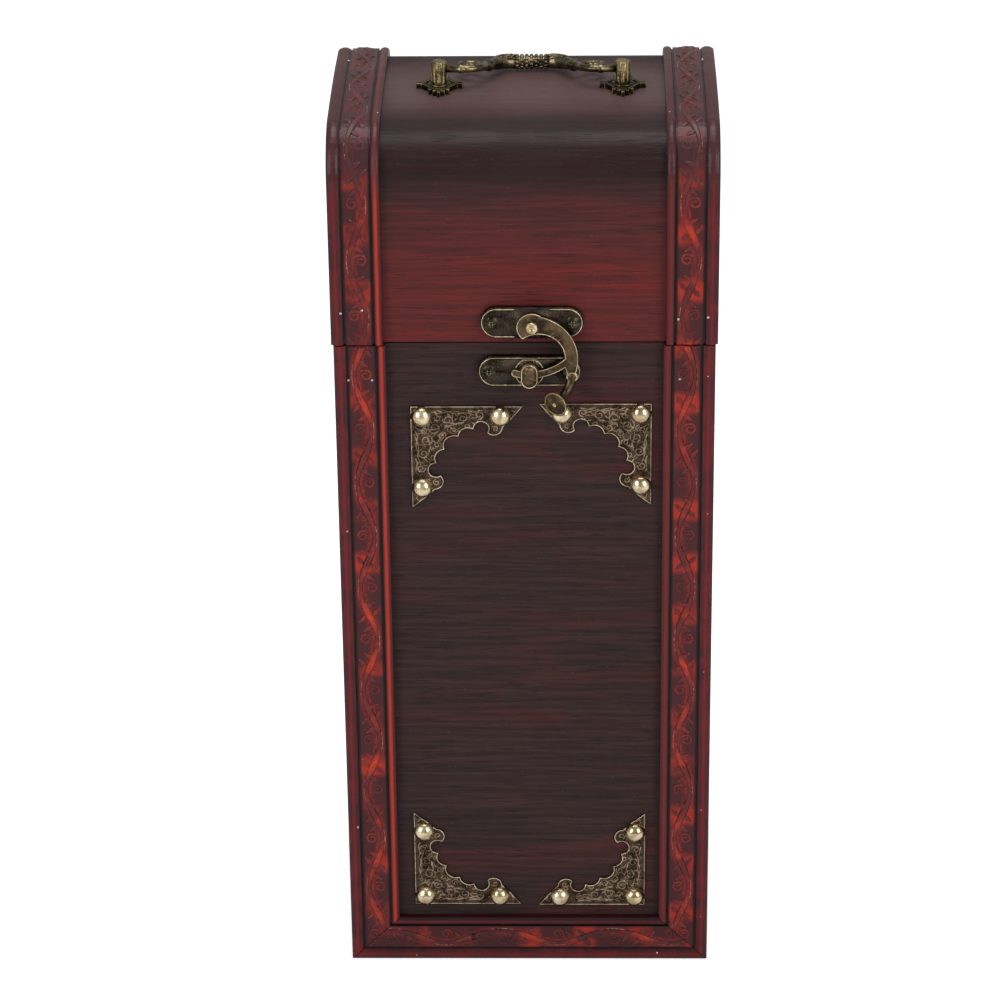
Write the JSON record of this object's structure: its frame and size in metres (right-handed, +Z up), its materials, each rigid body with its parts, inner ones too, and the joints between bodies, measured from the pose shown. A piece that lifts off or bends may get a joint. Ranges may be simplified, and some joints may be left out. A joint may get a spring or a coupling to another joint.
{
  "type": "wooden wine box",
  "caption": "Upright wooden box for one bottle, with a round-shouldered hinged lid, embossed mouldings, a swing-hook latch, stamped corner brackets and a drop handle.",
  "frame": {"origin": "centre of the overall box at its foot", "axes": "the front faces -Y, +X is to the viewer's right and +Z is up"},
  "size_m": [0.1416, 0.1226, 0.356],
  "materials": {
    "panel_wood": "satin stain",
    "stained_wood": "satin varnish",
    "moulding": "embossed, satin varnish",
    "antique_brass": "antiqued",
    "bright_brass": "polished",
    "screws": "brass-washed"
  },
  "bodies": {
    "case": {"base_board": "panel_wood", "front_panel": "panel_wood", "back_panel": "panel_wood", "left_side_panel": "stained_wood", "right_side_panel": "stained_wood", "front_left_stile": "moulding", "front_right_stile": "moulding", "front_bottom_rail": "moulding", "bracket_upper_left": "antique_brass", "bracket_upper_right": "antique_brass", "bracket_lower_left": "antique_brass", "bracket_lower_right": "antique_brass", "bracket_nails": "bright_brass", "catch_plate": "antique_brass", "catch_screws": "screws", "left_hinge_body_leaf": "antique_brass", "right_hinge_body_leaf": "antique_brass", "hinge_body_screws": "screws", "left_hinge_pin": "screws", "right_hinge_pin": "screws"},
    "lid": {"lid_shell": "stained_wood", "lid_left_end": "stained_wood", "lid_right_end": "stained_wood", "lid_left_band": "moulding", "lid_right_band": "moulding", "hook_plate": "antique_brass", "hook_plate_screws": "screws", "hook_rivet": "bright_brass", "left_hinge_lid_leaf": "antique_brass", "right_hinge_lid_leaf": "antique_brass", "hinge_lid_screws": "screws", "left_handle_rosette": "antique_brass", "right_handle_rosette": "antique_brass", "left_handle_post": "antique_brass", "right_handle_post": "antique_brass", "handle_nuts": "screws"},
    "hook": {"swing_hook": "antique_brass"},
    "handle": {"handle_bail": "antique_brass"}
  },
  "joints": [
    {"name": "lid_hinge", "type": "hinge", "parent": "case", "child": "lid", "pos_m": [0, 0.05899, 0.26525], "axis": [-1, 0, 0], "range_deg": [0, 180]},
    {"name": "hook_swing", "type": "hinge", "parent": "lid", "child": "hook", "pos_m": [0.0028, -0.05041, 0.2739], "axis": [0, -1, 0], "range_deg": [0, 110]},
    {"name": "handle_swing", "type": "hinge", "parent": "lid", "child": "handle", "pos_m": [0.0024, 0.00579, 0.3528], "axis": [1, 0, 0], "range_deg": [0, 204]}
  ]
}
